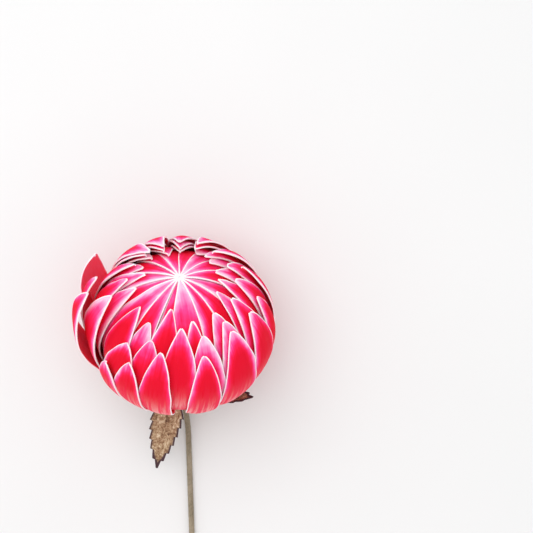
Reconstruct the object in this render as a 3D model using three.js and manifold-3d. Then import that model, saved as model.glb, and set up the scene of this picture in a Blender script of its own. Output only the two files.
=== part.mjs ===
// A globe-shaped peony flower on a short cut stem, laid down on a flat surface.
// The head is a nest of pointed petals in four rows. Their tips close over the top of the globe, and
// they all grow from a small receptacle at its base, with five toothed sepals under them. The neck
// of the stem bends, so that the head rests on its side with its face turned up and the stem lies
// straight behind it.
// Units are millimetres. +Z is up, the flower lies on z = 0 and its stem runs away along -Y.
import * as THREE from "three";
import { mergeVertices } from "three/addons/utils/BufferGeometryUtils.js";
import Module from "manifold-3d";

// ---- The globe that the petals are bent over, in the head's own frame: z along the head's axis ----
const GLOBE_RADIUS = 39; // at the equator, under the innermost row
const GLOBE_TOP = 33.5; // from the equator up to the tips of the innermost row
const GLOBE_BOTTOM = 31; // from the equator down to their bases
const ROW_PITCH = 2.6; // each row of petals lies this far outside the one before it

// ---- The petals ----
const PETALS_PER_ROW = 16;
const PETAL_STEP = 360 / PETALS_PER_ROW; // degrees from one petal to the next in a row
const PETAL_THICKNESS = 0.7;
const PETAL_COLUMNS = 3; // facets across a petal
const WIDEST_SHARE = 0.54; // half a petal's greatest width, as a share of the step, so neighbours lap
const BASE_SHARE = 0.42; // the same at its base
const TIP_WIDTH_SHARE = 0.03; // the blunt end of a tip, as a share of the step
const CROWN_EXTRA_WIDTH = 0.12; // crown petals are this much wider, so that they close the top
const EDGE_LIFT = 0.72; // how far a lapping edge rides out over its neighbour, or is pressed in under it
const DOME = 0.6; // how far a petal's middle bulges between its edges
const SWIRL = 7; // degrees that the petals lean sideways on their way up to the top
const LATITUDES = [-62, -45, -28, -11, 6, 23, 40, 55, 68, 79]; // where a petal's facets meet
const LAST_FACET = 6; // degrees, the least length of a petal's last facet

// Each row: where its petals end and where they start to narrow, in degrees of latitude, and the
// heading of the first petal. The last row closes over the top, so its petals never have to narrow.
const ROWS = [
  { name: "outer_petal", tip: 38, widest: -25, turn: -3.5, pitches: 3 },
  { name: "second_row_petal", tip: 53, widest: -5, turn: 0, pitches: 2 },
  { name: "third_row_petal", tip: 65, widest: 12, turn: -5, pitches: 1 },
  { name: "crown_petal", tip: 87.5, widest: 20, turn: 10, pitches: 0 },
];
const BEHIND_TIP = 62; // behind the head, every row's petals wrap over the top as far as this
const BEHIND_WIDENING = 15; // degrees that they stay wide for longer
const TIP_SCATTER = 3.5; // degrees of latitude that tips end early or late
const TURN_SCATTER = 1.6; // degrees that petals stand off their even places
const LEAN_SCATTER = 2.5; // degrees that a petal leans more or less than the swirl
const WIDTH_SCATTER = 0.06; // share that a petal is wider or narrower than the others
const TIP_LIFT = 1.1; // the most that an ordinary tip stands away from the globe

// These stand apart from their row: degrees of turn, the tip's latitude, a share of the usual width,
// how far the tip has sprung away and from which latitude, and how far the whole petal is raised.
const OWN_WAYS = {
  outer_petal_08: { turn: -1.5, tip: 30, width: 1.05, lift: 9, liftFrom: -28 },
  outer_petal_09: { turn: -5, lift: 5, liftFrom: -28, width: 0.95 },
  outer_petal_10: { turn: -7, lift: 9, liftFrom: -32 },
  outer_petal_11: { turn: 3, tip: 11, width: 0.8 },
  outer_petal_12: { turn: -4, tip: 21, width: 0.86 },
  outer_petal_13: { turn: -8, tip: 33.5, width: 0.9 },
  outer_petal_14: { turn: 0, tip: 30, width: 0.84 },
  outer_petal_15: { turn: 2, tip: 38 },
  outer_petal_16: { turn: 2.5, tip: 38 },
  second_row_petal_10: { turn: -3, tip: 47, lift: 5, liftFrom: -25 },
  second_row_petal_11: { turn: 2, tip: 31, lean: 18 },
  second_row_petal_12: { turn: 2, tip: 38.5 },
  second_row_petal_13: { turn: 0.5, tip: 49, width: 1.06 },
  second_row_petal_14: { turn: -2, tip: 42 },
  second_row_petal_15: { turn: -3.5, tip: 45 },
  second_row_petal_16: { turn: -4, tip: 52 },
  third_row_petal_09: { turn: -4, width: 0.9 },
  third_row_petal_10: { turn: -5, tip: 60, width: 1.05 },
  third_row_petal_11: { turn: 1.5, tip: 55 },
  third_row_petal_12: { turn: -2.5, tip: 49, width: 0.86 },
  third_row_petal_13: { turn: -6, tip: 62, width: 1.05 },
  third_row_petal_14: { turn: -4, tip: 53, width: 0.8 },
  third_row_petal_15: { turn: 0, tip: 53 },
  crown_petal_13: { turn: 1, width: 1.7, raised: 0.15 },
};

// The ring under the crown petals: its inner and outer latitudes, and half of its thickness.
const CROWN_RING = { inner: -77.5, outer: -71, half: 0.9 };

// ---- The receptacle, the swollen end of the stem that carries petals and sepals ----
const RECEPTACLE_RADIUS = 7.8;
const RECEPTACLE_BOTTOM = -45;
const RECEPTACLE_SHOULDER = -41.4;
const RECEPTACLE_RIM = -28.5;
const RECEPTACLE_TOP = -21;
const FIT_GAP = 0.35; // clearance between pieces that touch
const BASE_RADIUS = RECEPTACLE_RADIUS + FIT_GAP; // petals and sepals start here

// ---- The sepals ----
// Headings round the head, in degrees. The first sepal hangs back along the stem, and the third and
// fourth lie on each side of the line that the head rests on, so that it doesn't roll.
const SEPAL_HEADINGS = [253.5, 326, 62, 118, 190];
const SEPAL_THICKNESS = 0.7;
const SEPAL_LENGTH = 44;
const SEPAL_BASE_HALF_WIDTH = 3.6;
const SEPAL_WIDEST = 8.6; // half of the greatest width
const SEPAL_WIDEST_AT = 0.32; // share of the length
const SEPAL_TEETH = 9; // on each side
const TOOTH_DEPTH = 1.3;
const SEPAL_OFFSET = 3 * ROW_PITCH + EDGE_LIFT + PETAL_THICKNESS / 2 + FIT_GAP + SEPAL_THICKNESS / 2;
const FLARING_SEPAL = 1; // this one's tip stands away from the petals
const SEPAL_FLARE = 4;
const HANGING_SLOPE = 38; // degrees below level at its base
const HANGING_DROOP = 22; // degrees more at its tip

// ---- The stem and how the flower lies ----
const STEM_RADIUS = 1.5;
const STEM_LENGTH_ON_SURFACE = 172;
const NECK_RUN = 28; // from the receptacle to where the stem meets the surface
const STEM_STEPS = 44;
const HEAD_RISE = 45; // degrees that the head's axis stands above the surface
const HEAD_TURN = -3; // degrees that it is turned about the vertical from +Y
const STEM_TURN = 2; // degrees that the stem runs off -Y
const STEM_SIDE = 1.5; // how far beside the head's middle the stem comes down

const wasm = await Module();
wasm.setup();

const radians = THREE.MathUtils.degToRad;
const numbered = (name, i) => `${name}_${String(i + 1).padStart(2, "0")}`;
const smooth = (x) => THREE.MathUtils.smoothstep(x, 0, 1);

// A fixed number from -1 to 1 for each pair of whole numbers, so that no two petals are quite alike.
function scatter(n, kind) {
  const t = Math.sin(n * 12.9898 + kind * 78.233) * 43758.5453;
  return 2 * (t - Math.floor(t)) - 1;
}

// A point at a latitude and a heading round the head, standing a distance out from the inner globe.
function onGlobe(latitude, heading, out) {
  const height = latitude > 0 ? GLOBE_TOP : GLOBE_BOTTOM;
  const ring = (GLOBE_RADIUS + out) * Math.cos(radians(latitude));
  return new THREE.Vector3(
    ring * Math.cos(radians(heading)),
    ring * Math.sin(radians(heading)),
    (height + out) * Math.sin(radians(latitude)),
  );
}

// A closed blade: a flat box of facets, each corner of which is moved to where bend puts it.
// across runs from -1 to 1, along from 0 at the base to 1 at the tip, and side is -1 or 1.
function blade(columns, rows, bend) {
  const geometry = new THREE.BoxGeometry(2, rows, 2, columns, rows, 1);
  const corners = geometry.attributes.position;
  for (let i = 0; i < corners.count; i += 1) {
    const along = Math.round(corners.getY(i) + rows / 2);
    const point = bend(corners.getX(i), along, corners.getZ(i));
    corners.setXYZ(i, point.x, point.y, point.z);
  }
  return geometry;
}

// Everything that sets one petal apart from the others in its row.
function petalTraits(rowIndex, i) {
  const row = ROWS[rowIndex];
  const id = rowIndex * PETALS_PER_ROW + i;
  const closes = row.pitches === 0;
  const own = closes ? 0 : 1;
  const heading = i * PETAL_STEP + row.turn;
  const behind = own * smooth((Math.sin(radians(heading)) - 0.1) / 0.6);
  const found = {
    turn: TURN_SCATTER * scatter(id, 2),
    lean: SWIRL + own * LEAN_SCATTER * scatter(id, 3),
    tip: row.tip + (BEHIND_TIP - row.tip) * behind + own * TIP_SCATTER * scatter(id, 1),
    width: 1 + WIDTH_SCATTER * scatter(id, 7) + (closes ? CROWN_EXTRA_WIDTH : 0),
    widest: row.widest + BEHIND_WIDENING * behind,
    lift: (own * (1 - behind) * TIP_LIFT * (1 + scatter(id, 4))) / 2,
    liftFrom: row.tip - 12,
    raised: 0,
    closes,
    ...OWN_WAYS[numbered(row.name, i)],
  };
  found.liftFrom = Math.min(found.liftFrom, found.tip - 12);
  found.heading = heading + found.turn;
  found.out = row.pitches * ROW_PITCH + found.raised;
  return found;
}

// At each side one neighbour laps over the other: 1 where the petal before is on top, else -1.
function lapAfter(rowIndex, i) {
  const here = petalTraits(rowIndex, i);
  const next = petalTraits(rowIndex, (i + 1) % PETALS_PER_ROW);
  const higher = here.lift + 5 * here.raised - next.lift - 5 * next.raised;
  if (Math.abs(higher) > TIP_LIFT) return higher > 0 ? 1 : -1;
  return scatter(rowIndex * PETALS_PER_ROW + i, 5) > -0.4 ? 1 : -1;
}

// Half the petal's width at a latitude, in degrees of heading.
function halfWidth(latitude, petal, base) {
  const widening = smooth((latitude - base) / (-40 - base));
  const grown = BASE_SHARE + (WIDEST_SHARE * petal.width - BASE_SHARE) * widening;
  if (petal.closes || latitude <= petal.widest) return grown * PETAL_STEP;
  const x = Math.min(1, (latitude - petal.widest) / (petal.tip - petal.widest));
  return (TIP_WIDTH_SHARE + (grown - TIP_WIDTH_SHARE) * (1 - x ** 2.4) ** 0.66) * PETAL_STEP;
}

function petalGeometry(rowIndex, i) {
  const petal = petalTraits(rowIndex, i);
  const lapRight = lapAfter(rowIndex, i);
  const lapLeft = -lapAfter(rowIndex, (i + PETALS_PER_ROW - 1) % PETALS_PER_ROW);
  const base = -THREE.MathUtils.radToDeg(Math.acos(BASE_RADIUS / (GLOBE_RADIUS + petal.out - EDGE_LIFT)));
  const rows = [base, ...LATITUDES.filter((l) => l < petal.tip - LAST_FACET), petal.tip];
  return blade(PETAL_COLUMNS, rows.length - 1, (across, along, side) => {
    const latitude = rows[along];
    const lean = petal.lean * smooth((latitude + 30) / 120);
    const half = halfWidth(latitude, petal, base);
    const heading = petal.heading + lean + across * half;
    const lap = EDGE_LIFT * Math.abs(across) ** 1.5 * (across > 0 ? lapRight : lapLeft);
    const dome = (DOME * (1 - across ** 2) * half) / (WIDEST_SHARE * PETAL_STEP);
    const free = smooth((latitude - petal.liftFrom) / (petal.tip - petal.liftFrom));
    const out = petal.out + lap + dome + petal.lift * free + (side * PETAL_THICKNESS) / 2;
    return onGlobe(latitude, heading, out);
  });
}

// Half a sepal's width along it. It swells and then narrows, with teeth cut into both edges.
function sepalHalfWidth(share, tooth) {
  const swelling = smooth(share / SEPAL_WIDEST_AT);
  const x = Math.max(0, (share - SEPAL_WIDEST_AT) / (1 - SEPAL_WIDEST_AT));
  const swollen = SEPAL_BASE_HALF_WIDTH + (SEPAL_WIDEST - SEPAL_BASE_HALF_WIDTH) * swelling;
  return Math.max(0.35, swollen * (1 - x ** 2.1) - (tooth ? 0 : TOOTH_DEPTH));
}

// A sepal that lies close under the head, following the globe outwards and up.
function closeSepal(heading, flare) {
  const rows = 2 * SEPAL_TEETH;
  const surface = GLOBE_RADIUS + SEPAL_OFFSET;
  const base = -THREE.MathUtils.radToDeg(Math.acos(BASE_RADIUS / (surface - SEPAL_THICKNESS)));
  const degreesLong = THREE.MathUtils.radToDeg(SEPAL_LENGTH / surface);
  return blade(2, rows, (across, along, side) => {
    const share = along / rows;
    const latitude = base + degreesLong * share;
    const ring = surface * Math.cos(radians(latitude));
    const half = sepalHalfWidth(share, along % 2 === 0);
    const turn = THREE.MathUtils.radToDeg((across * half) / ring);
    const out = SEPAL_OFFSET + flare * share ** 2 + (side * SEPAL_THICKNESS) / 2;
    return onGlobe(latitude, heading + turn, out);
  });
}

// The sepal that hangs back along the stem: it leaves the receptacle half outwards, half down.
function hangingSepal(heading) {
  const rows = 2 * SEPAL_TEETH;
  const start = new THREE.Vector2(BASE_RADIUS, RECEPTACLE_SHOULDER + 0.6);
  const first = -radians(HANGING_SLOPE);
  const droop = radians(HANGING_DROOP);
  const half = SEPAL_THICKNESS / 2;
  return blade(2, rows, (across, along, side) => {
    const share = along / rows;
    const slope = first - droop * share;
    const chord = first - (droop * share) / 2;
    const out = start.x + SEPAL_LENGTH * share * Math.cos(chord) - side * half * Math.sin(slope);
    const up = start.y + SEPAL_LENGTH * share * Math.sin(chord) + side * half * Math.cos(slope);
    // Facing out along the heading, across runs to the right, so that side 1 is the upper face.
    const point = new THREE.Vector3(out, -across * sepalHalfWidth(share, along % 2 === 0), up);
    return point.applyAxisAngle(new THREE.Vector3(0, 0, 1), radians(heading));
  });
}

function receptacleGeometry() {
  const profile = new THREE.Path();
  profile.moveTo(0, RECEPTACLE_BOTTOM);
  profile.lineTo(STEM_RADIUS + 0.7, RECEPTACLE_BOTTOM);
  profile.quadraticCurveTo(RECEPTACLE_RADIUS, RECEPTACLE_BOTTOM + 0.6, RECEPTACLE_RADIUS, RECEPTACLE_SHOULDER);
  profile.lineTo(RECEPTACLE_RADIUS, RECEPTACLE_RIM);
  profile.quadraticCurveTo(RECEPTACLE_RADIUS, RECEPTACLE_TOP, 0, RECEPTACLE_TOP);
  const turned = new THREE.LatheGeometry(profile.getPoints(4), 24);
  return turned.rotateX(Math.PI / 2); // a lathe turns about y, and the head's axis is z
}

// A ring that joins the bases of the crown petals into one piece. Its section has four corners.
function crownRing() {
  const corner = (latitude, out) => {
    const point = onGlobe(latitude, 0, out);
    return new THREE.Vector2(point.x, point.z);
  };
  const { inner, outer, half } = CROWN_RING;
  const loop = [corner(inner, half), corner(outer, half), corner(outer, -half), corner(inner, -half)];
  return new THREE.LatheGeometry([...loop, loop[0]], 30).rotateX(Math.PI / 2);
}

function toSolid(geometry) {
  const bare = geometry.clone();
  bare.deleteAttribute("normal");
  bare.deleteAttribute("uv");
  const merged = mergeVertices(bare, 1e-4);
  return new wasm.Manifold(
    new wasm.Mesh({
      numProp: 3,
      vertProperties: new Float32Array(merged.attributes.position.array),
      triVerts: new Uint32Array(merged.index.array),
    }),
  );
}

function toGeometry(solid) {
  const mesh = solid.getMesh();
  const geometry = new THREE.BufferGeometry();
  geometry.setAttribute("position", new THREE.BufferAttribute(mesh.vertProperties, 3));
  geometry.setIndex(new THREE.BufferAttribute(mesh.triVerts, 1));
  geometry.computeVertexNormals();
  return geometry;
}

const petalFinish = new THREE.MeshStandardMaterial({ color: 0xf0203c, roughness: 0.6, metalness: 0 });
const sepalFinish = new THREE.MeshStandardMaterial({ color: 0x8a6d52, roughness: 0.85, metalness: 0 });
const stemFinish = new THREE.MeshStandardMaterial({ color: 0x7a6f55, roughness: 0.75, metalness: 0 });
const receptacleFinish = new THREE.MeshStandardMaterial({ color: 0x6f6a48, roughness: 0.8, metalness: 0 });

function piece(name, geometry, material) {
  const mesh = new THREE.Mesh(geometry, material);
  mesh.name = name;
  return mesh;
}

function buildHead() {
  const head = new THREE.Group();
  ROWS.forEach((row, rowIndex) => {
    const petals = Array.from({ length: PETALS_PER_ROW }, (_, i) => petalGeometry(rowIndex, i));
    if (row.pitches > 0) {
      petals.forEach((petal, i) => head.add(piece(numbered(row.name, i), petal, petalFinish)));
      return;
    }
    const joined = petals.map(toSolid).reduce((all, petal) => all.add(petal), toSolid(crownRing()));
    head.add(piece("crown_petals", toGeometry(joined), petalFinish));
  });
  SEPAL_HEADINGS.forEach((heading, i) => {
    const flare = i === FLARING_SEPAL ? SEPAL_FLARE : 0;
    const geometry = i === 0 ? hangingSepal(heading) : closeSepal(heading, flare);
    head.add(piece(numbered("sepal", i), geometry, sepalFinish));
  });
  head.add(piece("receptacle", receptacleGeometry(), receptacleFinish));
  return head;
}

// Lays the head on the surface with its axis rising at HEAD_RISE.
function layDown(head) {
  head.rotation.set(-radians(90 - HEAD_RISE), 0, radians(HEAD_TURN), "ZXY");
  head.updateMatrixWorld(true);
  head.position.z = -new THREE.Box3().setFromObject(head, true).min.z;
  head.updateMatrixWorld(true);
}

// The stem leaves the receptacle along the head's axis, bends down to the surface and lies along it.
function stemGeometry(head) {
  const neck = head.localToWorld(new THREE.Vector3(0, 0, RECEPTACLE_BOTTOM - FIT_GAP));
  const below = head.localToWorld(new THREE.Vector3(0, 0, RECEPTACLE_BOTTOM - FIT_GAP - 1));
  const away = below.sub(neck);
  const along = new THREE.Vector3(Math.sin(radians(STEM_TURN)), -Math.cos(radians(STEM_TURN)), 0);
  const landing = new THREE.Vector3(STEM_SIDE, neck.y - NECK_RUN, STEM_RADIUS);
  const path = new THREE.CurvePath();
  path.add(
    new THREE.CubicBezierCurve3(
      neck,
      neck.clone().addScaledVector(away, NECK_RUN * 0.45),
      landing.clone().addScaledVector(along, -NECK_RUN * 0.42),
      landing,
    ),
  );
  path.add(new THREE.LineCurve3(landing, landing.clone().addScaledVector(along, STEM_LENGTH_ON_SURFACE)));
  const section = new THREE.Shape();
  section.absarc(0, 0, STEM_RADIUS, 0, 2 * Math.PI);
  return new THREE.ExtrudeGeometry(section, { steps: STEM_STEPS, curveSegments: 4, extrudePath: path });
}

const flower = new THREE.Group();
const head = buildHead();
layDown(head);
flower.add(head, piece("stem", stemGeometry(head), stemFinish));

// The origin is the middle of the footprint, on the surface.
const extent = new THREE.Box3().setFromObject(flower, true);
const middle = extent.getCenter(new THREE.Vector3());
flower.position.set(-middle.x, -middle.y, -extent.min.z);

// The exported group carries no move of its own.
const part = new THREE.Group();
part.add(flower);
part.updateMatrixWorld(true);

export default part;
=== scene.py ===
# %% [markdown]
# # A globe-shaped peony, cut and laid down
# The flower is a nest of pointed petals in four rows, bent over a globe, on a thin wrapped stem. The
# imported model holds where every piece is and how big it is. This script gives each piece its real
# surface: soft outlines, a thin pale edge, a red that pales towards the margin, and toothed sepals.
# Lengths are in millimetres unless a comment says metres, and `MM` turns them into Blender's metres.

# %% The frame that everything is built around
import math

import bmesh
import bpy
from mathutils import Matrix, Vector, noise


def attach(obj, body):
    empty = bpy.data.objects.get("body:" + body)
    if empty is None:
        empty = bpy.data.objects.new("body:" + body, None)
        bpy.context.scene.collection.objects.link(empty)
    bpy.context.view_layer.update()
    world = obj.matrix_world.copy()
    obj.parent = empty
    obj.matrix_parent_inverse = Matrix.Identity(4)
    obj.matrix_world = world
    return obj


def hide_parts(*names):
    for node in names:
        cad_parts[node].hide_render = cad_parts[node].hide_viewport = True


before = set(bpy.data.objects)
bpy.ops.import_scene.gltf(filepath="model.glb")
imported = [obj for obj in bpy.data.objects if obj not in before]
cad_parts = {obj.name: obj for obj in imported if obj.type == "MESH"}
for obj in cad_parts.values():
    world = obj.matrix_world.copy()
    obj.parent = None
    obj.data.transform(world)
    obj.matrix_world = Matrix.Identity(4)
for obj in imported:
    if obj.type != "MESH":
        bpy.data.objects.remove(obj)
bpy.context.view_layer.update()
MM = 0.001
print("The frame holds", len(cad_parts), "nodes")

# %% [markdown]
# ## Where the head sits
# The head leans back with its axis rising at 45 degrees, and it is turned a little. The receptacle is
# turned about that axis, so once its corners are seen from along the axis, the middle of their box is a
# point on it. That gives the head's own frame without measuring anything by hand.

# %% The head's own frame
HEAD_RISE = 45
HEAD_TURN = -3
RECEPTACLE_BOTTOM = -45
turn_aside = Matrix.Rotation(math.radians(HEAD_TURN), 3, "Z")
lean_back = turn_aside @ Matrix.Rotation(-math.radians(90 - HEAD_RISE), 3, "X")
seen_along_axis = [lean_back.transposed() @ v.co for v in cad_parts["receptacle"].data.vertices]
lowest = [min(p[k] for p in seen_along_axis) for k in range(3)]
highest = [max(p[k] for p in seen_along_axis) for k in range(3)]
middle = [(low + high) / 2 for low, high in zip(lowest, highest)]
centre = Vector((middle[0], middle[1], lowest[2] - RECEPTACLE_BOTTOM * MM))
HEAD = Matrix.Translation(lean_back @ centre) @ lean_back.to_4x4()
print("The head's middle is at", [round(x / MM, 2) for x in HEAD.translation], "mm")

# %% [markdown]
# ## The globe and its rows
# These are the sizes that the flower was built to. Each row lies one pitch outside the row before it.
# A point is given by its latitude and heading on the globe and by how far out it stands.

# %% Sizes of the globe and its rows
GLOBE_RADIUS = 39
GLOBE_TOP = 33.5
GLOBE_BOTTOM = 31
ROW_PITCH = 2.6
PETALS_PER_ROW = 16
PETAL_STEP = 360 / PETALS_PER_ROW
PETAL_THICKNESS = 0.7
SWIRL = 7
ROWS = [
    {"name": "outer_petal", "tip": 38, "widest": -25, "turn": -3.5, "pitches": 3},
    {"name": "second_row_petal", "tip": 53, "widest": -5, "turn": 0, "pitches": 2},
    {"name": "third_row_petal", "tip": 65, "widest": 12, "turn": -5, "pitches": 1},
    {"name": "crown_petal", "tip": 89.5, "widest": 20, "turn": 10, "pitches": 0},
]


def on_globe(latitude, heading, out):
    """The point at a latitude and a heading in degrees, standing out from the innermost row."""
    height = GLOBE_TOP if latitude > 0 else GLOBE_BOTTOM
    up, round_ = math.radians(latitude), math.radians(heading)
    ring = (GLOBE_RADIUS + out) * math.cos(up)
    return Vector((ring * math.cos(round_), ring * math.sin(round_), (height + out) * math.sin(up)))


def smooth(x):
    """0 below 0, 1 above 1, and an even S between them."""
    x = min(1, max(0, x))
    return x * x * (3 - 2 * x)


def scatter(n, kind):
    """A fixed number from -1 to 1 for each petal n and each kind of trait, so that no two are alike."""
    t = math.sin(n * 12.9898 + kind * 78.233) * 43758.5453
    return 2 * (t - math.floor(t)) - 1


# %% [markdown]
# ## One petal's own character
# Petals in a row differ: each ends early or late, leans a little more or less, and its tip stands away
# from the globe by its own amount. Some outer petals have sprung right away from the globe.

# %% What sets each petal apart
TIP_SCATTER = 3.5
TURN_SCATTER = 1.6
LEAN_SCATTER = 2.5
WIDTH_SCATTER = 0.06
DYE_SCATTER = 0.22
TIP_LIFT = 1.1
LIFTS_BELOW_TIP = 12  # degrees below a tip where it begins to lift
CROWN_TURN_SCATTER = 2.4  # times the other rows' scatter
CROWN_EXTRA_WIDTH = 0.12
BEHIND_TIP = 62  # behind the head, every row's petals wrap over the top as far as this
BEHIND_WIDENING = 15  # and stay wide this many degrees further up
BEHIND_BEGINS = 0.1  # the sine of the heading where the wrapping begins
BEHIND_SPAN = 0.6  # how much that sine grows until the wrapping is full
RAISED_COUNTS = 5  # in telling which petal lies on top, raising counts this much more than lifting
LIES_OVER_ABOVE = -0.4  # most scattered numbers are above this, so most petals lie over the next one
# These stand apart from their row: degrees of turn and of lean, the tip's latitude, a share of the usual
# width, how many millimetres the tip has sprung away and from which latitude, how far the whole petal is
# raised, and the strength of its dye.
OWN_WAYS = {
    ("outer_petal", 8): {"turn": -1.5, "tip": 30, "width": 1.05, "lift": 9, "lift_from": -28},
    ("outer_petal", 9): {"turn": -5, "lift": 5, "lift_from": -28, "width": 0.95},
    ("outer_petal", 10): {"turn": -7, "lift": 9, "lift_from": -32},
    ("outer_petal", 11): {"turn": 3, "tip": 11, "width": 0.8},
    ("outer_petal", 12): {"turn": -4, "tip": 21, "width": 0.86},
    ("outer_petal", 13): {"turn": -8, "tip": 33.5, "width": 0.9},
    ("outer_petal", 14): {"turn": 0, "tip": 30, "width": 0.84},
    ("outer_petal", 15): {"turn": 2, "tip": 38},
    ("outer_petal", 16): {"turn": 2.5, "tip": 38},
    ("second_row_petal", 10): {"turn": -3, "tip": 47, "lift": 5, "lift_from": -25},
    ("second_row_petal", 11): {"turn": 2, "tip": 31, "lean": 18},
    ("second_row_petal", 12): {"turn": 2, "tip": 38.5},
    ("second_row_petal", 13): {"turn": 0.5, "tip": 49, "width": 1.06},
    ("second_row_petal", 14): {"turn": -2, "tip": 42},
    ("second_row_petal", 15): {"turn": -3.5, "tip": 45},
    ("second_row_petal", 16): {"turn": -4, "tip": 52},
    ("third_row_petal", 9): {"turn": -4, "width": 0.9},
    ("third_row_petal", 10): {"turn": -5, "tip": 60, "width": 1.05},
    ("third_row_petal", 11): {"turn": 1.5, "tip": 55},
    ("third_row_petal", 12): {"turn": -2.5, "tip": 49, "width": 0.86},
    ("third_row_petal", 13): {"turn": -6, "tip": 62, "width": 1.05},
    ("third_row_petal", 14): {"turn": -4, "tip": 53, "width": 0.8},
    ("third_row_petal", 15): {"turn": 0, "tip": 53},
    ("crown_petal", 13): {"turn": 1, "width": 1.7, "raised": 0.15, "dye": 0.72},
}


def traits(row, i):
    """Where petal i of a row stands, how it leans and how far its tip lifts."""
    shape = ROWS[row]
    number = row * PETALS_PER_ROW + i
    closes = shape["pitches"] == 0
    own = 0 if closes else 1
    heading = i * PETAL_STEP + shape["turn"]
    behind = own * smooth((math.sin(math.radians(heading)) - BEHIND_BEGINS) / BEHIND_SPAN)
    found = {
        "number": number,
        "turn": TURN_SCATTER * scatter(number, 2) * (CROWN_TURN_SCATTER if closes else 1),
        "lean": SWIRL + own * LEAN_SCATTER * scatter(number, 3),
        "tip": shape["tip"] + (BEHIND_TIP - shape["tip"]) * behind + own * TIP_SCATTER * scatter(number, 1),
        "width": 1 + WIDTH_SCATTER * scatter(number, 7) + (CROWN_EXTRA_WIDTH if closes else 0),
        "widest": shape["widest"] + BEHIND_WIDENING * behind,
        "lift": own * (1 - behind) * TIP_LIFT * (1 + scatter(number, 4)) / 2,
        "lift_from": shape["tip"] - LIFTS_BELOW_TIP,
        "raised": 0,
        "dye": 1 + DYE_SCATTER * scatter(number, 6),
        "behind": behind,
        "closes": closes,
    }
    found.update(OWN_WAYS.get((shape["name"], i + 1), {}))
    found["lift_from"] = min(found["lift_from"], found["tip"] - LIFTS_BELOW_TIP)
    found["heading"] = heading + found["turn"]
    found["out"] = shape["pitches"] * ROW_PITCH + found["raised"]
    return found


def lap_after(row, i):
    """1 where petal i lies over the next one in its row, and -1 where it lies under it."""
    here = traits(row, i)
    after = traits(row, (i + 1) % PETALS_PER_ROW)
    higher = here["lift"] + RAISED_COUNTS * here["raised"] - after["lift"] - RAISED_COUNTS * after["raised"]
    if abs(higher) > TIP_LIFT:
        return 1 if higher > 0 else -1
    return 1 if scatter(here["number"], 5) > LIES_OVER_ABOVE else -1


# %% [markdown]
# ## From a flat grid to a bent sheet
# A petal or a sepal is a thin sheet. The easiest honest way to make one is to start from a flat grid and
# move every corner to its place on the bent sheet. The flat grid also knows how far each corner is from
# the sheet's edge, its tip and its base, and two attributes keep that. "plan" has the millimetres across
# and along the sheet. "edge" has the millimetres from the margin, the distance from the tip as a share,
# and the dye's strength. The materials read them, so colour follows the surface wherever the sheet bends.

# %% A bent sheet, and how a piece is finished
EDGE_SEGMENTS = 2
LEFT_SHARP = 50  # degrees. Only edges that turn by more than this are rounded
made = []


def bent_sheet(columns, rows, place):
    """A grid whose corners go where place(across, along) says. across is -1 to 1 and along is 0 to 1."""
    sheet = bmesh.new()
    plan = sheet.verts.layers.float_vector.new("plan")
    edge = sheet.verts.layers.float_vector.new("edge")
    bmesh.ops.create_grid(sheet, x_segments=columns, y_segments=rows, size=1)
    for corner in sheet.verts:
        corner.co, corner[plan], corner[edge] = place(corner.co.x, (corner.co.y + 1) / 2)
    return sheet


def finish_piece(name, shape, where, materials, node):
    """Turns a bmesh in millimetres into a finished object that rides with the frame."""
    for face in shape.faces:
        face.smooth = True
    bmesh.ops.transform(shape, matrix=where @ Matrix.Scale(MM, 4), verts=shape.verts)
    mesh = bpy.data.meshes.new(name)
    shape.to_mesh(mesh)
    shape.free()
    piece = bpy.data.objects.new(name, mesh)
    bpy.context.scene.collection.objects.link(piece)
    for material in materials:
        mesh.materials.append(material)
    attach(piece, "root")
    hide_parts(node)
    made.append(piece)
    return piece


def thicken(piece, thickness, edge_round):
    """Gives a sheet its thickness, with its second material on the inner face, and rounds the cut edge."""
    solid = piece.modifiers.new("thickness", "SOLIDIFY")
    solid.thickness = thickness * MM
    solid.offset = 0
    solid.use_rim = True
    solid.material_offset = 1
    solid.material_offset_rim = 0
    rounded = piece.modifiers.new("cut edge", "BEVEL")
    rounded.width = edge_round * MM
    rounded.segments = EDGE_SEGMENTS
    rounded.limit_method = "ANGLE"
    rounded.angle_limit = math.radians(LEFT_SHARP)


# %% [markdown]
# ## Colour helpers
# Colours are written as the hex codes that a paint chart would give, and shaders want linear light, so
# one function turns one into the other. A second small function adds a node with its settings and links.

# %% Colour and node helpers
def linear(code):
    """An sRGB colour such as "#EC1224" as linear red, green, blue and alpha."""
    shares = [int(code[i : i + 2], 16) / 255 for i in (1, 3, 5)]
    return [c / 12.92 if c <= 0.04045 else ((c + 0.055) / 1.055) ** 2.4 for c in shares] + [1.0]


def add_node(tree, kind, inputs=None, stops=None, **settings):
    """Adds a node. inputs gives a value or another node's output for each socket, stops a ramp's colours."""
    node = tree.nodes.new(kind)
    for name, value in settings.items():
        setattr(node, name, value)
    for socket, value in (inputs or {}).items():
        if isinstance(value, bpy.types.NodeSocket):
            tree.links.new(value, node.inputs[socket])
        else:
            node.inputs[socket].default_value = value
    if stops:
        points = node.color_ramp.elements
        while len(points) < len(stops):
            points.new(0.5)
        for point, (position, code) in zip(points, stops):
            point.position = position
            point.color = linear(code)
    return node


def new_material(name):
    """An empty material with its Principled shader and output joined."""
    material = bpy.data.materials.new(name)
    material.use_nodes = True
    tree = material.node_tree
    tree.nodes.clear()
    surface = add_node(tree, "ShaderNodeBsdfPrincipled")
    add_node(tree, "ShaderNodeOutputMaterial", {"Surface": surface.outputs[0]})
    return material, tree, surface


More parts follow.
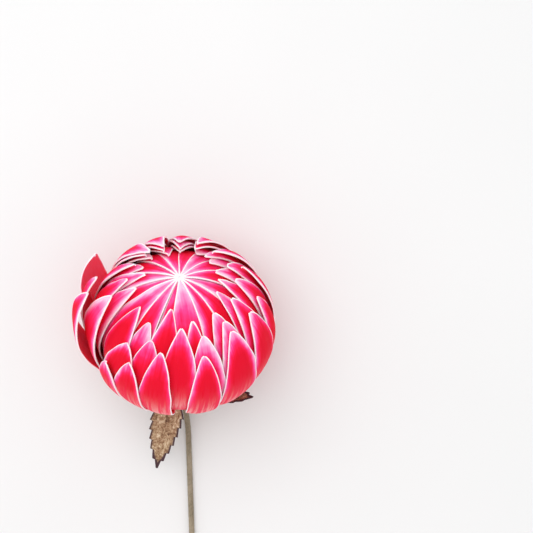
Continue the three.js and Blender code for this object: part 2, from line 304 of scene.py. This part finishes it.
# %% [markdown]
# ## The petals' finish
# A petal is soft and matt, dyed red. The red thins to magenta pink and then to a pale pink near the
# margin and towards the tip, and the cut edge itself is almost white. Near its base the red turns to
# salmon with fine lengthwise streaks. The inner face is a plain rosy red.

# %% Petal materials
WHITE_EDGE = 0.42  # mm of almost white along the margin
FADE_AT_TIP = 9  # mm from the margin to where the full red begins, near the tip
FADE_LOW_DOWN = 4.2  # the same towards the base
SALMON_ENDS = 44  # mm from the base where the salmon gives way to the red
RED_BEGINS = 72
STREAK_WIDTH = 1.5  # mm. The real fibres are finer, but finer ones would not show
STREAK_LENGTH = 30
BLOTCH = 8  # mm across a soft patch of stronger or weaker dye
BLOTCH_SHARE = 0.5  # how strongly the patches shift the dye
STREAK_SHARE = 0.6  # and the fibres
CORNER_SOFTNESS = 0.15  # how softly the fade from the margin meets the fade from the tip
PALEST_AT = 0.52
REDDEST_AT = 1.62
SALMON_RAGGED = 30  # mm that the fibres carry the salmon up or down
INNER_RAGGED = 25
INNER_DEEPEST = 15  # mm from the base, on the inner face
INNER_PALEST = 90
MATT_SPECULAR = 0.15
FIBRE_RELIEF = 0.25
LIGHT_DEPTH = 1.2  # mm that red light travels inside a petal
LIGHT_REACH = (1, 0.35, 0.4)  # how far red, green and blue travel, as shares of that
LIGHT_THROUGH_OUTER = 0.3
LIGHT_THROUGH_INNER = 0.6


def petal_patterns(tree):
    """The distances and noises that a petal or a sepal is coloured by."""
    plan = add_node(tree, "ShaderNodeAttribute", attribute_name="plan").outputs["Vector"]
    edge = add_node(tree, "ShaderNodeAttribute", attribute_name="edge").outputs["Vector"]
    distances = add_node(tree, "ShaderNodeSeparateXYZ", {0: edge})
    along = add_node(tree, "ShaderNodeSeparateXYZ", {0: plan})
    finer = (1 / STREAK_WIDTH, 1 / STREAK_LENGTH, 1)
    stretched = add_node(tree, "ShaderNodeVectorMath", {0: plan, 1: finer}, operation="MULTIPLY").outputs[0]
    streaks = add_node(
        tree, "ShaderNodeTexNoise", {"Vector": stretched, "Scale": 1, "Detail": 4, "Roughness": 0.6}
    )
    blotches = add_node(tree, "ShaderNodeTexNoise", {"Vector": plan, "Scale": 1 / BLOTCH, "Detail": 2})
    return {
        "plan": plan,
        "margin": distances.outputs[0],
        "to_tip": distances.outputs[1],
        "dye": distances.outputs[2],
        "from_base": along.outputs[1],
        "streaks": streaks.outputs[0],
        "blotches": blotches.outputs[0],
    }


def paint_edge(tree, surface, margin, edge_colour, body, begins, ends):
    """Paints a thin edge in its own colour round a body colour."""
    inside = add_node(
        tree,
        "ShaderNodeMapRange",
        {"Value": margin, "From Min": begins, "From Max": ends},
        interpolation_type="SMOOTHSTEP",
    )
    both = add_node(
        tree,
        "ShaderNodeMix",
        {"Factor": inside.outputs[0], "A": linear(edge_colour), "B": body},
        data_type="RGBA",
    )
    tree.links.new(both.outputs["Result"], surface.inputs["Base Color"])


def let_light_through(surface, weight):
    """A petal is thin enough for a little red light to pass through it into the hollows behind."""
    surface.inputs["Subsurface Weight"].default_value = weight
    surface.inputs["Subsurface Radius"].default_value = LIGHT_REACH
    surface.inputs["Subsurface Scale"].default_value = LIGHT_DEPTH * MM


def press_fibres(tree, surface, height, depth):
    """Fine relief from a pattern's height."""
    bump = add_node(tree, "ShaderNodeBump", {"Height": height, "Strength": 0.5, "Distance": depth * MM})
    tree.links.new(bump.outputs[0], surface.inputs["Normal"])


def outer_face_material():
    """Dyed petal, outer face: red, paling through magenta to a white edge. Matt, with a soft sheen."""
    material, tree, surface = new_material("dyed_petal_outer_face")
    found = petal_patterns(tree)
    reach = add_node(
        tree,
        "ShaderNodeMapRange",
        {"Value": found["to_tip"], "To Min": FADE_AT_TIP, "To Max": FADE_LOW_DOWN},
    )
    from_edge = add_node(
        tree, "ShaderNodeMath", {0: found["margin"], 1: reach.outputs[0]}, operation="DIVIDE"
    )
    nearer = add_node(
        tree,
        "ShaderNodeMath",
        {0: from_edge.outputs[0], 1: found["to_tip"], 2: CORNER_SOFTNESS},
        operation="SMOOTH_MIN",
    )
    uneven = add_node(
        tree,
        "ShaderNodeMath",
        {0: found["blotches"], 1: BLOTCH_SHARE, 2: nearer.outputs[0]},
        operation="MULTIPLY_ADD",
    )
    fibrous = add_node(
        tree,
        "ShaderNodeMath",
        {0: found["streaks"], 1: STREAK_SHARE, 2: uneven.outputs[0]},
        operation="MULTIPLY_ADD",
    )
    dyed = add_node(
        tree, "ShaderNodeMath", {0: fibrous.outputs[0], 1: found["dye"]}, operation="MULTIPLY"
    )
    share = add_node(
        tree,
        "ShaderNodeMapRange",
        {"Value": dyed.outputs[0], "From Min": PALEST_AT, "From Max": REDDEST_AT},
    )
    red = add_node(
        tree,
        "ShaderNodeValToRGB",
        {0: share.outputs[0]},
        stops=[
            (0.0, "#FCC6DF"),
            (0.13, "#FD8CC0"),
            (0.3, "#FC4490"),
            (0.48, "#F4205C"),
            (0.72, "#EA0E38"),
            (1.0, "#E0062A"),
        ],
    )
    ragged = add_node(
        tree,
        "ShaderNodeMath",
        {0: found["streaks"], 1: SALMON_RAGGED, 2: found["from_base"]},
        operation="MULTIPLY_ADD",
    )
    half_way = SALMON_RAGGED / 2
    above_base = add_node(
        tree,
        "ShaderNodeMapRange",
        {"Value": ragged.outputs[0], "From Min": SALMON_ENDS + half_way, "From Max": RED_BEGINS + half_way},
        interpolation_type="SMOOTHSTEP",
    )
    salmon = add_node(
        tree,
        "ShaderNodeValToRGB",
        {0: found["streaks"]},
        stops=[(0.36, "#EC264C"), (0.5, "#F25266"), (0.62, "#FCA6A6")],
    )
    body = add_node(
        tree,
        "ShaderNodeMix",
        {"Factor": above_base.outputs[0], "A": salmon.outputs[0], "B": red.outputs[0]},
        data_type="RGBA",
    )
    red_all_over = body.outputs["Result"]
    paint_edge(tree, surface, found["margin"], "#FFF2F5", red_all_over, WHITE_EDGE * 0.5, WHITE_EDGE * 1.6)
    rough = add_node(tree, "ShaderNodeMapRange", {"Value": found["streaks"], "To Min": 0.7, "To Max": 0.9})
    tree.links.new(rough.outputs[0], surface.inputs["Roughness"])
    surface.inputs["Specular IOR Level"].default_value = MATT_SPECULAR
    let_light_through(surface, LIGHT_THROUGH_OUTER)
    press_fibres(tree, surface, found["streaks"], FIBRE_RELIEF)
    return material


def inner_face_material():
    """Dyed petal, inner face: plain rosy red with a thin pale rim."""
    material, tree, surface = new_material("dyed_petal_inner_face")
    found = petal_patterns(tree)
    fibrous = add_node(
        tree,
        "ShaderNodeMath",
        {0: found["streaks"], 1: INNER_RAGGED, 2: found["from_base"]},
        operation="MULTIPLY_ADD",
    )
    up = add_node(
        tree,
        "ShaderNodeMapRange",
        {"Value": fibrous.outputs[0], "From Min": INNER_DEEPEST, "From Max": INNER_PALEST},
    )
    body = add_node(
        tree,
        "ShaderNodeValToRGB",
        {0: up.outputs[0]},
        stops=[(0.0, "#E8203F"), (0.5, "#FB3C58"), (1.0, "#FF6480")],
    )
    paint_edge(tree, surface, found["margin"], "#FDB4CB", body.outputs[0], 0.1, 0.7)
    surface.inputs["Roughness"].default_value = 0.65
    surface.inputs["Specular IOR Level"].default_value = MATT_SPECULAR
    let_light_through(surface, LIGHT_THROUGH_INNER)
    press_fibres(tree, surface, found["streaks"], FIBRE_RELIEF)
    return material


petal_faces = [outer_face_material(), inner_face_material()]

# %% [markdown]
# ## The petals
# A petal widens from its base, keeps that width up to its widest latitude and then narrows in a curve to
# its tip, like a pointed arch. It is domed a little across, its two edges ride over or under its
# neighbours, and its margin waves gently. Sixty-four of them are made by one function.

# %% The petals
PETAL_COLUMNS = 16
PETAL_ROWS = 44
BASE_RADIUS = 7.4
BASE_SHARE = 0.42
WIDEST_SHARE = 0.54
TIP_WIDTH_SHARE = 0.02
WIDENS_UNTIL = -40  # the latitude where a petal has grown to its full width
ARCH_SHOULDER = 2.4  # two powers that draw the pointed arch: the first holds its width
ARCH_POINT = 0.66  # and the second sharpens its tip
ROWS_CROWD = 1.3  # a power that sets the grid's rows closer together towards the tip
LEAN_FROM = -30  # the latitude where a petal begins to lean
LEAN_SPAN = 120
EDGE_LIFT = 0.72
LAP_CURVE = 1.5
DOME = 0.6
DOME_SCATTER = 0.3
RAISED_DOME = 0.4  # a raised petal is this much flatter
DOMED_WHERE = 6  # mm of half width from which a petal is fully domed
WAVES_ALONG = 9
WAVY_WHERE = 3  # mm of half width from which a margin waves fully
WAVE_IN_WIDTH = 0.06
RUFFLE = 0.3
RUFFLE_BEHIND = 0.15  # more of it behind the head
RUFFLE_CURVE = 3
FADE_SCATTER = 0.35
SIDE_SCATTER = 0.3  # how much stronger the dye may be on one side
NOISE_STEP = 3.7  # keeps one petal's noise apart from the next one's
PETAL_EDGE_ROUND = 0.22
TIP_FADE = 16  # mm from a tip to where the full red begins
CROWN_FADE = 32  # the same on the crown petals, which are pale where they meet


def half_width(latitude, petal, base):
    """Half a petal's width at a latitude, in degrees of heading."""
    widening = smooth((latitude - base) / (WIDENS_UNTIL - base))
    grown = BASE_SHARE + (WIDEST_SHARE * petal["width"] - BASE_SHARE) * widening
    if petal["closes"] or latitude <= petal["widest"]:
        return grown * PETAL_STEP
    x = min(1, (latitude - petal["widest"]) / (petal["tip"] - petal["widest"]))
    arch = (1 - x**ARCH_SHOULDER) ** ARCH_POINT
    return (TIP_WIDTH_SHARE + (grown - TIP_WIDTH_SHARE) * arch) * PETAL_STEP


def petal_sheet(row, i):
    """Petal i of a row, bent over the globe in the head's own frame."""
    petal = traits(row, i)
    lap_right = lap_after(row, i)
    lap_left = -lap_after(row, (i - 1) % PETALS_PER_ROW)
    surface = GLOBE_RADIUS + petal["out"]
    base = -math.degrees(math.acos(BASE_RADIUS / (surface - EDGE_LIFT)))
    seed = petal["number"] * NOISE_STEP
    fade = CROWN_FADE if petal["closes"] else TIP_FADE * (1 + FADE_SCATTER * scatter(petal["number"], 8))
    one_sided = SIDE_SCATTER * scatter(petal["number"], 10)
    flatter = RAISED_DOME if petal["raised"] else 1
    domed = DOME * (1 + DOME_SCATTER * scatter(petal["number"], 9)) * flatter

    def place(across, along):
        latitude = base + (petal["tip"] - base) * (1 - (1 - along) ** ROWS_CROWD)
        lean = petal["lean"] * smooth((latitude - LEAN_FROM) / LEAN_SPAN)
        half = half_width(latitude, petal, base)
        millimetres = math.radians(half) * surface * math.cos(math.radians(latitude))
        wave = noise.noise(Vector((along * WAVES_ALONG, seed, across))) * min(1, millimetres / WAVY_WHERE)
        half *= 1 + WAVE_IN_WIDTH * wave * abs(across)
        lap = EDGE_LIFT * abs(across) ** LAP_CURVE * (lap_right if across > 0 else lap_left)
        free = smooth((latitude - petal["lift_from"]) / (petal["tip"] - petal["lift_from"]))
        dome = domed * (1 - across**2) * min(1, millimetres / DOMED_WHERE)
        ruffle = (RUFFLE + RUFFLE_BEHIND * petal["behind"]) * wave * abs(across) ** RUFFLE_CURVE
        out = petal["out"] + lap + dome + ruffle + petal["lift"] * free
        point = on_globe(latitude, petal["heading"] + lean + across * half, out)
        from_base = math.radians(latitude - base) * surface
        to_tip = math.radians(petal["tip"] - latitude) * surface
        plan = Vector((across * millimetres, from_base, seed))
        dye = petal["dye"] * (1 + one_sided * across)
        edge = Vector(((1 - abs(across)) * millimetres, to_tip / fade, dye))
        return point, plan, edge

    return bent_sheet(PETAL_COLUMNS, PETAL_ROWS, place)


for row, shape in enumerate(ROWS):
    closes = shape["pitches"] == 0
    for i in range(PETALS_PER_ROW):
        name = f"{shape['name']}_{i + 1:02d}"
        node = "crown_petals" if closes else name
        petal = finish_piece(name + "_skin", petal_sheet(row, i), HEAD, petal_faces, node)
        thicken(petal, PETAL_THICKNESS, PETAL_EDGE_ROUND)
print("Petals made:", len(made))

# %% [markdown]
# ## The sepals
# Under the globe sit five dry brown sepals, cut with forward-pointing teeth like a saw. Four lie close
# under the petals and one hangs back along the stem.

# %% Sepal material
FIBRE_MAT = 2.2  # mm across a tuft of matted fibres
SEPAL_RELIEF = 0.5
DARK_EDGE_BEGINS = 0.2  # mm from the margin
DARK_EDGE_ENDS = 1.5
DARK_TIP = -2.2  # mm that the dark edge reaches further in at the tip


def sepal_material():
    """Dry sepal: matt brown with matted fibres, darker along its cut teeth and at its tip."""
    material, tree, surface = new_material("dry_sepal")
    found = petal_patterns(tree)
    matted = add_node(
        tree,
        "ShaderNodeTexNoise",
        {"Vector": found["plan"], "Scale": 1 / FIBRE_MAT, "Detail": 6, "Roughness": 0.7, "Distortion": 1.5},
    )
    fibre = add_node(
        tree,
        "ShaderNodeMix",
        {"Factor": 0.3, "A": matted.outputs[0], "B": found["streaks"]},
        data_type="FLOAT",
    )
    body = add_node(
        tree,
        "ShaderNodeValToRGB",
        {0: fibre.outputs[0]},
        stops=[(0.36, "#5A4336"), (0.45, "#8C6D52"), (0.54, "#B49A7A"), (0.62, "#DCCBAF")],
    )
    at_tip = add_node(
        tree,
        "ShaderNodeMapRange",
        {"Value": found["to_tip"], "From Min": 0.0, "From Max": 0.25, "To Min": DARK_TIP, "To Max": 0},
    )
    from_edge = add_node(tree, "ShaderNodeMath", {0: found["margin"], 1: at_tip.outputs[0]}, operation="ADD")
    inwards = from_edge.outputs[0]
    paint_edge(tree, surface, inwards, "#4A363A", body.outputs[0], DARK_EDGE_BEGINS, DARK_EDGE_ENDS)
    surface.inputs["Roughness"].default_value = 0.9
    surface.inputs["Specular IOR Level"].default_value = 0.2
    press_fibres(tree, surface, fibre.outputs[0], SEPAL_RELIEF)
    return material


sepal_finish = sepal_material()

# %% The sepals' shape
# Headings round the head, in degrees. The first sepal hangs back along the stem, and the third and
# fourth lie on each side of the line that the head rests on, so that it doesn't roll.
SEPAL_HEADINGS = [253.5, 326, 62, 118, 190]
SEPAL_LENGTH = 44
SEPAL_THICKNESS = 0.6
SEPAL_BASE_HALF_WIDTH = 3.6
SEPAL_WIDEST = 8.6  # half of the greatest width
SEPAL_WIDEST_AT = 0.32
SEPAL_TAPER = 2.1  # a power: the higher, the longer a sepal stays wide
SEPAL_TIP_HALF_WIDTH = 0.25
LEAST_HALF_WIDTH = 0.2
TEETH = 9
ROWS_PER_TOOTH = 5
TOOTH_DEPTH = 1.3
TOOTH_SPAN = 0.94  # the share of its pitch that a tooth's long side takes
SEPAL_COLUMNS = 12
SEPAL_NOISE = 200  # keeps the sepals' noise apart from the petals'
SEPAL_NOISE_STEP = 5.3
CRUMPLE = 0.5
CRUMPLE_WIDTH = 5
CRUMPLES_ALONG = 6
MIDRIB_DEPTH = 0.35
MIDRIB_WIDTH = 0.7
TROUGH = 0.02  # how fast a sepal's sides rise from its middle
SEPAL_GAP = 0.35  # between the outer petals and a sepal
SEPAL_OFFSET = 3 * ROW_PITCH + EDGE_LIFT + PETAL_THICKNESS / 2 + SEPAL_GAP + SEPAL_THICKNESS / 2
SEPAL_EDGE_ROUND = 0.12
HANGING_SLOPE = 38  # degrees down from level, where the hanging sepal leaves the receptacle
HANGING_DROOP = 22  # and how many more at its tip
ABOVE_SHOULDER = 0.6
FLARING_SEPAL = 1  # counted from 0, this one's tip stands away from the petals
SEPAL_FLARE = 4
SHOULDER = -41.4


def sepal_half_width(share):
    """Half a sepal's width in millimetres, without its teeth."""
    if share < SEPAL_WIDEST_AT:
        growing = smooth(share / SEPAL_WIDEST_AT)
        return SEPAL_BASE_HALF_WIDTH + (SEPAL_WIDEST - SEPAL_BASE_HALF_WIDTH) * growing
    x = (share - SEPAL_WIDEST_AT) / (1 - SEPAL_WIDEST_AT)
    return SEPAL_WIDEST * (1 - x**SEPAL_TAPER) + SEPAL_TIP_HALF_WIDTH


def toothed(along):
    """The share along the sepal and the place within a tooth, from 0 at its notch to 1 at its point."""
    step = min(round(along * TEETH * ROWS_PER_TOOTH), TEETH * ROWS_PER_TOOTH - 1)
    tooth, part = divmod(step, ROWS_PER_TOOTH)
    within = part / (ROWS_PER_TOOTH - 1)
    return (tooth + TOOTH_SPAN * within) / TEETH, within


def sepal_sheet(number, bend):
    """A toothed sheet. bend(across_mm, share, rise_mm) gives the place of a point on it."""
    seed = SEPAL_NOISE + number * SEPAL_NOISE_STEP

    def place(across, along):
        share, within = toothed(along)
        notch = TOOTH_DEPTH * (1 - within) * smooth(abs(across))
        half = max(LEAST_HALF_WIDTH, sepal_half_width(share) - notch)
        side = across * half
        crumple = CRUMPLE * noise.noise(Vector((side / CRUMPLE_WIDTH, share * CRUMPLES_ALONG, seed)))
        midrib = MIDRIB_DEPTH * math.exp(-((side / MIDRIB_WIDTH) ** 2))
        trough = TROUGH * side * side
        point = bend(side, share, crumple - midrib + trough)
        plan = Vector((side, share * SEPAL_LENGTH, seed))
        edge = Vector(((1 - abs(across)) * half, 1 - share, 1))
        return point, plan, edge

    return bent_sheet(SEPAL_COLUMNS, TEETH * ROWS_PER_TOOTH - 1, place)


def close_bend(heading, flare):
    """A sepal that follows the globe outwards and up, just outside the outer petals."""
    surface = GLOBE_RADIUS + SEPAL_OFFSET
    base = -math.degrees(math.acos(BASE_RADIUS / (surface - SEPAL_THICKNESS)))
    length = math.degrees(SEPAL_LENGTH / surface)

    def bend(side, share, rise):
        latitude = base + length * share
        turn = math.degrees(side / (surface * math.cos(math.radians(latitude))))
        return on_globe(latitude, heading + turn, SEPAL_OFFSET + flare * share**2 - rise)

    return bend


def hanging_bend(heading):
    """The sepal that leaves the receptacle half outwards, half down, and droops along the stem."""

    def bend(side, share, rise):
        slope = math.radians(-HANGING_SLOPE - HANGING_DROOP * share)
        middle = math.radians(-HANGING_SLOPE - HANGING_DROOP / 2 * share)
        out = BASE_RADIUS + SEPAL_LENGTH * share * math.cos(middle) - rise * math.sin(slope)
        up = SHOULDER + ABOVE_SHOULDER + SEPAL_LENGTH * share * math.sin(middle) + rise * math.cos(slope)
        return Matrix.Rotation(math.radians(heading), 3, "Z") @ Vector((out, side, up))

    return bend


for i, heading in enumerate(SEPAL_HEADINGS):
    flare = SEPAL_FLARE if i == FLARING_SEPAL else 0
    bend = hanging_bend(heading) if i == 0 else close_bend(heading, flare)
    node = f"sepal_{i + 1:02d}"
    sepal = finish_piece(node + "_leaf", sepal_sheet(i, bend), HEAD, [sepal_finish], node)
    thicken(sepal, SEPAL_THICKNESS, SEPAL_EDGE_ROUND)
print("Sepals made:", len(SEPAL_HEADINGS))

# %% [markdown]
# ## The receptacle
# The stem swells into a small urn that carries every petal and sepal. It is a turned shape, so a profile
# is spun about the axis, and then shallow ribs are pressed into it.

# %% The material of the receptacle and the stem
TAPE_CRINKLE = 0.9  # mm across a crinkle in the tape
TAPE_PATCH = 9  # mm across a patch of paler or darker tape
TAPE_RELIEF = 0.15
LAP_PAINTED_SHADE = -0.14  # painted shade: how much darker the tape is at the foot of the step just after a lap
LAP_PAINTED_SHADE_SPAN = 0.2  # the share of a turn over which that painted shade fades


def taped_material(name, pale, dark):
    """Paper tape wound over a stem: matt, slightly crinkled, with painted shade at the foot of the step
    where one turn laps the next.
    """
    material, tree, surface = new_material(name)
    edge = add_node(tree, "ShaderNodeAttribute", attribute_name="edge").outputs["Vector"]
    plan = add_node(tree, "ShaderNodeAttribute", attribute_name="plan").outputs["Vector"]
    turns = add_node(tree, "ShaderNodeSeparateXYZ", {0: edge})
    crinkle = add_node(
        tree,
        "ShaderNodeTexNoise",
        {"Vector": plan, "Scale": 1 / TAPE_CRINKLE, "Detail": 5, "Roughness": 0.65},
    )
    patch = add_node(tree, "ShaderNodeTexNoise", {"Vector": plan, "Scale": 1 / TAPE_PATCH, "Detail": 2})
    tone = add_node(
        tree,
        "ShaderNodeMix",
        {"Factor": 0.5, "A": crinkle.outputs[0], "B": patch.outputs[0]},
        data_type="FLOAT",
    )
    # painted shade: the tape is darkened at the foot of each lap's step, where the lapping edge would cast
    # its shadow
    lap = add_node(
        tree,
        "ShaderNodeMapRange",
        {"Value": turns.outputs[0], "From Max": LAP_PAINTED_SHADE_SPAN, "To Min": LAP_PAINTED_SHADE, "To Max": 0},
    )
    shaded = add_node(tree, "ShaderNodeMath", {0: tone.outputs[0], 1: lap.outputs[0]}, operation="ADD")
    body = add_node(tree, "ShaderNodeValToRGB", {0: shaded.outputs[0]}, stops=[(0.3, dark), (0.6, pale)])
    tree.links.new(body.outputs[0], surface.inputs["Base Color"])
    surface.inputs["Roughness"].default_value = 0.75
    press_fibres(tree, surface, crinkle.outputs[0], TAPE_RELIEF)
    return material


stem_finish = taped_material("taped_stem", "#9A8D78", "#6B5F49")
receptacle_finish = taped_material("taped_receptacle", "#857A58", "#544C33")

# %% The receptacle's shape
STEM_RADIUS = 1.5
FOOT_RADIUS = STEM_RADIUS + 0.1
RECEPTACLE_RADIUS = 7.8
RECEPTACLE_RIM = -28.5
RECEPTACLE_TOP = -21
FOOT_FLAT = 0.6  # the share of the stem's radius that the urn's foot is flat
STEPS_UNDER = 9  # steps up the urn's swelling underside
STEPS_OVER = 11  # and over its domed top
STEPS_ROUND = 60
RIBS = 15
RIB_DEPTH = 0.2
RIBS_FROM = 3  # mm from the axis where the ribs begin, and over as many again they reach full depth


def receptacle_profile():
    """Points up the side of the urn, from the middle of its foot to the middle of its top."""
    points = [(0, RECEPTACLE_BOTTOM), (STEM_RADIUS * FOOT_FLAT, RECEPTACLE_BOTTOM)]
    for step in range(STEPS_UNDER + 1):
        quarter = step / STEPS_UNDER * math.pi / 2
        swell = FOOT_RADIUS + (RECEPTACLE_RADIUS - FOOT_RADIUS) * math.sin(quarter)
        points.append((swell, RECEPTACLE_BOTTOM + (SHOULDER - RECEPTACLE_BOTTOM) * (1 - math.cos(quarter))))
    for step in range(STEPS_OVER + 1):
        quarter = step / STEPS_OVER * math.pi / 2
        height = RECEPTACLE_RIM + (RECEPTACLE_TOP - RECEPTACLE_RIM) * math.sin(quarter)
        points.append((RECEPTACLE_RADIUS * math.cos(quarter), height))
    return points


def receptacle_shape():
    """The profile spun into an urn, with ribs pressed into it."""
    urn = bmesh.new()
    urn.verts.layers.float_vector.new("plan")
    urn.verts.layers.float_vector.new("edge")
    corners = [urn.verts.new((r, 0, z)) for r, z in receptacle_profile()]
    lines = [urn.edges.new(pair) for pair in zip(corners, corners[1:])]
    bmesh.ops.spin(
        urn,
        geom=corners + lines,
        cent=(0, 0, 0),
        axis=(0, 0, 1),
        angle=2 * math.pi,
        steps=STEPS_ROUND,
        use_merge=True,
    )
    bmesh.ops.remove_doubles(urn, verts=urn.verts, dist=1e-4)
    bmesh.ops.recalc_face_normals(urn, faces=urn.faces)
    plan = urn.verts.layers.float_vector["plan"]
    edge = urn.verts.layers.float_vector["edge"]
    for corner in urn.verts:
        heading = math.atan2(corner.co.y, corner.co.x)
        rib = RIB_DEPTH * math.cos(RIBS * heading) * smooth((corner.co.xy.length - RIBS_FROM) / RIBS_FROM)
        corner[plan] = corner.co
        corner[edge] = (0.5, 0.5, 1)
        corner.co.xy *= 1 + rib / RECEPTACLE_RADIUS
    return urn


finish_piece("receptacle_urn", receptacle_shape(), HEAD, [receptacle_finish], "receptacle")

# %% [markdown]
# ## The stem
# A rod three millimetres thick, wound with paper tape. Each turn of the tape laps the one before, which
# leaves a fine spiral step. A flat grid is rolled into a tube along the stem's route, and the step comes
# from its radius, which grows along each turn and then drops back.

# %% The stem
NECK_RUN = 28
FLAT_RUN = 172
STEM_TURN = 2
STEM_SIDE = 1.5
FIT_GAP = 0.35
TAPE_PITCH = 5.5
TAPE_STEP = 0.09
STEM_COLUMNS = 24
STEM_ROWS = 420
NECK_PULL = 0.45  # how far the curve's handles reach, as shares of the neck's run
LANDING_PULL = 0.42
CURVE_SHARE = 0.97  # the neck's length as a share of the line through its handles
CRINKLES_ROUND = 2  # how the crinkles are scaled round the stem
CRINKLES_ALONG = 0.7  # and along it

neck = (HEAD @ Vector((0, 0, (RECEPTACLE_BOTTOM - FIT_GAP) * MM))) / MM
axis = lean_back @ Vector((0, 0, 1))
run = Vector((math.sin(math.radians(STEM_TURN)), -math.cos(math.radians(STEM_TURN)), 0))
landing = Vector((HEAD.translation.x / MM + STEM_SIDE, neck.y - NECK_RUN, STEM_RADIUS))
handles = [neck, neck - axis * NECK_RUN * NECK_PULL, landing - run * NECK_RUN * LANDING_PULL, landing]
NECK_LENGTH = sum((handles[k + 1] - handles[k]).length for k in range(3)) * CURVE_SHARE


def on_route(distance):
    """A point on the stem's route and its direction, at a distance in millimetres from the neck."""
    if distance > NECK_LENGTH:
        return landing + run * (distance - NECK_LENGTH), run
    t = distance / NECK_LENGTH
    a, b, c, d = handles
    point = a * (1 - t) ** 3 + b * 3 * t * (1 - t) ** 2 + c * 3 * t * t * (1 - t) + d * t**3
    heading = (b - a) * (1 - t) ** 2 + (c - b) * 2 * t * (1 - t) + (d - c) * t * t
    return point, heading.normalized()


def stem_sheet():
    """The stem: a grid rolled into a tube along its route, joined along its seam and closed at its ends."""
    length = NECK_LENGTH + FLAT_RUN

    def place(across, along):
        distance = along * length
        point, heading = on_route(distance)
        right = heading.cross(Vector((0, 0, 1))).normalized()
        above = right.cross(heading)
        angle = across * math.pi
        turn = (distance / TAPE_PITCH + across / 2) % 1
        radius = STEM_RADIUS - TAPE_STEP * (1 - turn)
        point = point + (right * math.sin(angle) - above * math.cos(angle)) * radius
        aside, upwards = math.cos(angle) * CRINKLES_ROUND, math.sin(angle) * CRINKLES_ROUND
        plan = Vector((aside, distance * CRINKLES_ALONG, upwards))
        return point, plan, Vector((turn, 0.5, 1))

    tube = bent_sheet(STEM_COLUMNS, STEM_ROWS, place)
    bmesh.ops.remove_doubles(tube, verts=tube.verts, dist=1e-3)
    open_ends = [line for line in tube.edges if line.is_boundary]
    bmesh.ops.holes_fill(tube, edges=open_ends)
    bmesh.ops.recalc_face_normals(tube, faces=tube.faces)
    return tube


finish_piece("stem_wrapped", stem_sheet(), Matrix.Identity(4), [stem_finish], "stem")

# %% [markdown]
# ## Floor, light and camera
# A pale floor, an even sky and one large soft lamp give the gentle light of a studio table. The camera
# looks straight down, which shows the head from about 48 degrees above its own equator.

# %% The floor
FLOOR_SIZE = 6  # metres


def floor_material():
    """Matt painted board: pale and even, with the faintest mottling."""
    material, tree, surface = new_material("matt_board")
    where = add_node(tree, "ShaderNodeTexCoord").outputs["Object"]
    mottle = add_node(tree, "ShaderNodeTexNoise", {"Vector": where, "Scale": 6, "Detail": 2})
    greys = [(0.3, "#E3E3E3"), (0.7, "#E5E5E5")]
    tone = add_node(tree, "ShaderNodeValToRGB", {0: mottle.outputs[0]}, stops=greys)
    tree.links.new(tone.outputs[0], surface.inputs["Base Color"])
    surface.inputs["Roughness"].default_value = 0.9
    return material


board = bmesh.new()
bmesh.ops.create_grid(board, x_segments=1, y_segments=1, size=FLOOR_SIZE / 2)
floor_mesh = bpy.data.meshes.new("floor")
board.to_mesh(floor_mesh)
board.free()
floor_mesh.materials.append(floor_material())
floor = bpy.data.objects.new("floor", floor_mesh)
bpy.context.scene.collection.objects.link(floor)

# %% Light
SKY_STRENGTH = 0.98
LAMP_POWER = 4
LAMP_SIZE = 0.9  # metres
LAMP_PLACE = Vector((-0.25, 0.3, 0.95))  # metres from the head's middle
world = bpy.data.worlds.new("studio")
world.use_nodes = True
world.node_tree.nodes["Background"].inputs["Color"].default_value = linear("#FFFFFF")
world.node_tree.nodes["Background"].inputs["Strength"].default_value = SKY_STRENGTH
bpy.context.scene.world = world


def soft_lamp(name, place, aim, size, power):
    """A square soft lamp that faces its aim."""
    lamp = bpy.data.lights.new(name, "AREA")
    lamp.size = size
    lamp.energy = power
    holder = bpy.data.objects.new(name, lamp)
    holder.location = place
    holder.rotation_euler = (Vector(aim) - Vector(place)).to_track_quat("-Z", "Y").to_euler()
    bpy.context.scene.collection.objects.link(holder)


head_middle = HEAD.translation
soft_lamp("key", head_middle + LAMP_PLACE, head_middle, LAMP_SIZE, LAMP_POWER)

# %% Camera
LENS = 85
SENSOR = 36
FRAME_WIDTH = 266.5  # mm of the scene across the picture, at the height of the head's middle
HEAD_LEFT = 43.2  # mm that the head's middle stands left of the picture's middle
HEAD_BELOW = 29.2  # and below it
distance = FRAME_WIDTH * MM * LENS / SENSOR
lens = bpy.data.cameras.new("camera")
lens.lens = LENS
lens.sensor_width = SENSOR
camera = bpy.data.objects.new("camera", lens)
camera.location = head_middle + Vector((HEAD_LEFT * MM, HEAD_BELOW * MM, distance))
bpy.context.scene.collection.objects.link(camera)
bpy.context.scene.camera = camera
bpy.context.scene.view_settings.view_transform = "Standard"
print("The camera is", round(distance / MM), "mm above the head's middle")
